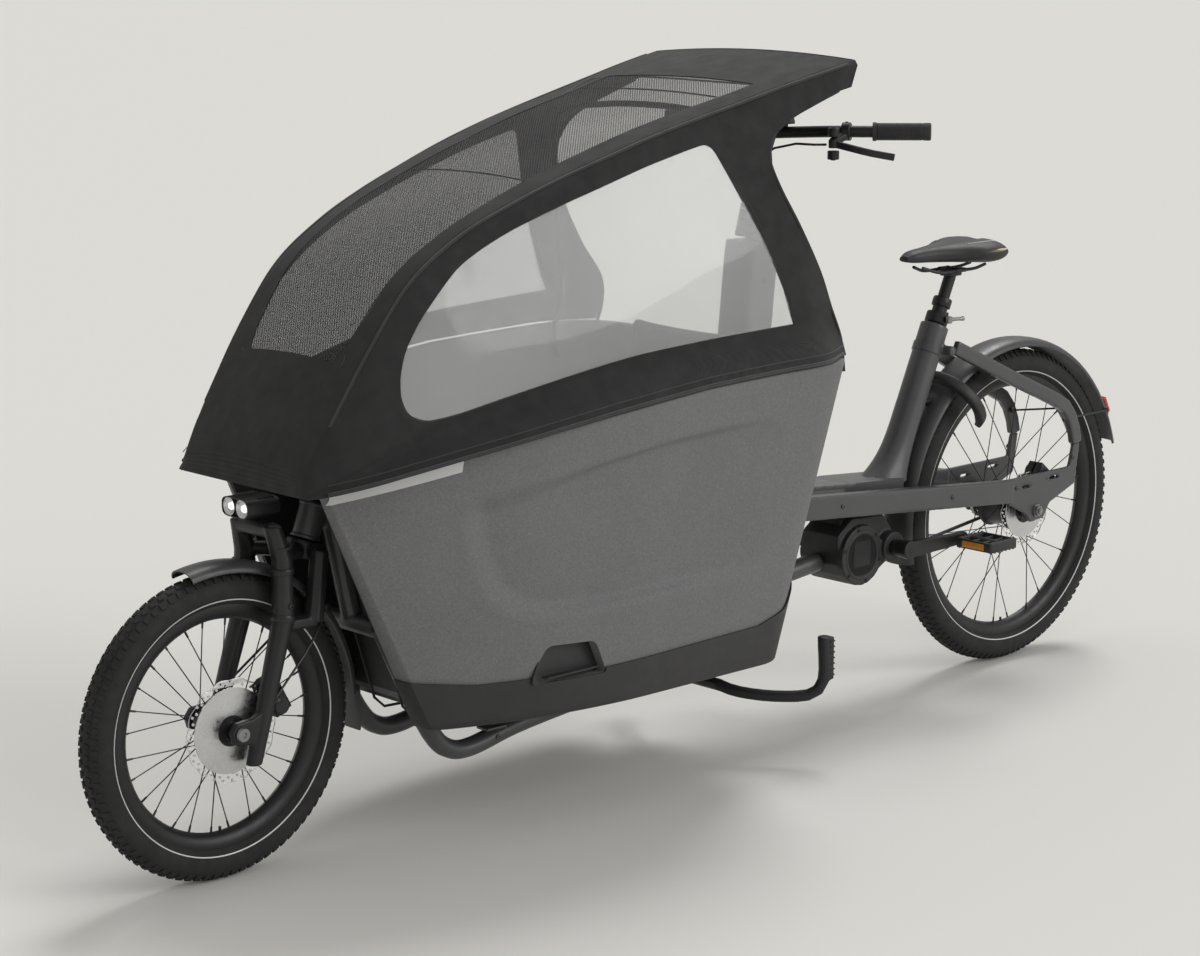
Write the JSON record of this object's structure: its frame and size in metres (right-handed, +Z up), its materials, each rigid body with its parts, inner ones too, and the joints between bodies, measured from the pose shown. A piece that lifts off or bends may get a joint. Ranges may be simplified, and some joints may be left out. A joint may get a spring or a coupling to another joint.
{
  "type": "cargo bicycle",
  "caption": "Front-loading cargo bicycle with a foam box under a fabric rain canopy, small front wheel, belt drive, mid motor and folded centre stand.",
  "frame": {"origin": "middle of the overall box on the ground", "axes": "+X forward along the bicycle, +Y to the rider's left, +Z up"},
  "size_m": [2.6986, 0.762, 1.337],
  "materials": {
    "frame_paint": "satin dark grey paint",
    "black_metal": "black anodised or painted metal",
    "black_plastic": "matte black moulded plastic",
    "tyre_rubber": "black tyre rubber with a pale reflective line on each wall",
    "rubber": "black rubber",
    "steel": "brushed stainless steel",
    "foam": "speckled grey expanded foam",
    "canopy_cloth": "black woven canopy fabric",
    "mesh_cloth": "dark open mesh",
    "clear_sheet": "clear flexible window sheet",
    "saddle_cover": "black grained saddle cover"
  },
  "bodies": {
    "frame": {"chain_stay_left": "frame_paint", "chain_stay_right": "frame_paint", "rear_axle": "black_metal", "seat_stay_left": "frame_paint", "seat_stay_right": "frame_paint", "seat_tube": "frame_paint", "rear_mudguard": "black_plastic", "tail_light": "black_plastic", "rear_calliper": "black_metal", "seat_clamp": "black_metal", "motor_housing": "black_plastic", "drive_belt": "rubber", "lock_body": "black_plastic", "head_tube": "frame_paint", "cradle_tube_left": "frame_paint", "cradle_tube_right": "frame_paint", "bulkhead": "frame_paint", "steering_column": "frame_paint", "box_tub": "foam", "box_base": "black_plastic", "front_guard": "black_plastic", "battery_case": "black_plastic", "bench_seat": "canopy_cloth", "bench_backrest": "canopy_cloth", "canopy": "canopy_cloth", "canopy_window_top": "mesh_cloth", "canopy_window_left": "clear_sheet", "canopy_window_right": "clear_sheet", "canopy_hoop": "black_metal", "steering_cable": "rubber"},
    "fork_assembly": {"fork": "black_metal", "front_axle": "black_metal", "front_mudguard": "black_plastic", "front_calliper": "black_metal", "headlamp": "black_metal"},
    "front_wheel": {"front_tyre": "tyre_rubber", "front_rim": "black_metal", "front_hub": "black_metal", "front_disc": "steel"},
    "rear_wheel": {"rear_tyre": "tyre_rubber", "rear_rim": "black_metal", "rear_hub": "black_metal", "rear_disc": "steel"},
    "sprocket": {"rear_cog": "black_metal"},
    "crank": {"crank_left": "black_metal", "crank_right": "black_metal"},
    "left_pedal": {"pedal_left": "black_plastic"},
    "right_pedal": {"pedal_right": "black_plastic"},
    "handlebars": {"stem": "black_metal", "handlebar": "black_metal", "grip_left": "rubber", "grip_right": "rubber", "brake_hoses": "rubber"},
    "left_lever": {"brake_lever_left": "black_metal"},
    "right_lever": {"brake_lever_right": "black_metal"},
    "seat": {"seatpost": "black_metal", "saddle": "saddle_cover"},
    "clamp_lever": {"seat_lever": "black_metal"},
    "lock_pin": {"lock_bar": "steel"},
    "stand": {"centre_stand": "black_metal"}
  },
  "joints": [
    {"name": "fork_turn", "type": "hinge", "parent": "frame", "child": "fork_assembly", "pos_m": [0.88034, 0, 0.596], "axis": [-0.342, 0, 0.9397], "range_deg": [-45, 45]},
    {"name": "front_wheel_spin", "type": "hinge", "parent": "fork_assembly", "child": "front_wheel", "pos_m": [1.08634, 0, 0.263], "axis": [0, 1, 0], "continuous": true},
    {"name": "rear_wheel_spin", "type": "hinge", "parent": "frame", "child": "rear_wheel", "pos_m": [-0.99066, 0, 0.34], "axis": [0, 1, 0], "continuous": true},
    {"name": "crank_spin", "type": "hinge", "parent": "frame", "child": "crank", "pos_m": [-0.54066, 0, 0.327], "axis": [0, 1, 0], "continuous": true},
    {"name": "sprocket_spin", "type": "hinge", "parent": "frame", "child": "sprocket", "pos_m": [-0.99066, 0, 0.34], "axis": [0, 1, 0], "continuous": true},
    {"name": "left_pedal_spin", "type": "hinge", "parent": "crank", "child": "left_pedal", "pos_m": [-0.71066, 0.178, 0.327], "axis": [0, 1, 0], "continuous": true},
    {"name": "right_pedal_spin", "type": "hinge", "parent": "crank", "child": "right_pedal", "pos_m": [-0.37066, -0.178, 0.327], "axis": [0, 1, 0], "continuous": true},
    {"name": "handlebar_turn", "type": "hinge", "parent": "frame", "child": "handlebars", "pos_m": [-0.19066, 0, 0.979], "axis": [-0.1045, 0, 0.9945], "range_deg": [-45, 45]},
    {"name": "left_lever_pull", "type": "hinge", "parent": "handlebars", "child": "left_lever", "pos_m": [-0.17866, 0.216, 1.172], "axis": [0, 0, 1], "range_deg": [0, 16], "stiffness_Nm_per_rad": 2, "springref_deg": -5.73},
    {"name": "right_lever_pull", "type": "hinge", "parent": "handlebars", "child": "right_lever", "pos_m": [-0.17866, -0.216, 1.172], "axis": [0, 0, -1], "range_deg": [0, 16], "stiffness_Nm_per_rad": 2, "springref_deg": -5.73},
    {"name": "seat_height", "type": "slide", "parent": "frame", "child": "seat", "axis": [-0.4185, 0, 0.9082], "range_m": [-0.01, 0.08]},
    {"name": "clamp_lever_swing", "type": "hinge", "parent": "frame", "child": "clamp_lever", "pos_m": [-0.74965, 0.032, 0.769], "axis": [0, 0, -1], "range_deg": [0, 90]},
    {"name": "lock_bar_swing", "type": "hinge", "parent": "frame", "child": "lock_pin", "pos_m": [-0.79858, 0, 0.58586], "axis": [0.788, 0, -0.6157], "range_deg": [-72, 0]},
    {"name": "stand_swing", "type": "hinge", "parent": "frame", "child": "stand", "pos_m": [-0.01666, 0, 0.14], "axis": [0, -1, 0], "range_deg": [0, 80]}
  ],
  "couplings": [
    {"joint": "handlebar_turn", "follows": "fork_turn", "ratio": 1},
    {"joint": "sprocket_spin", "follows": "crank_spin", "ratio": 2.1111}
  ]
}
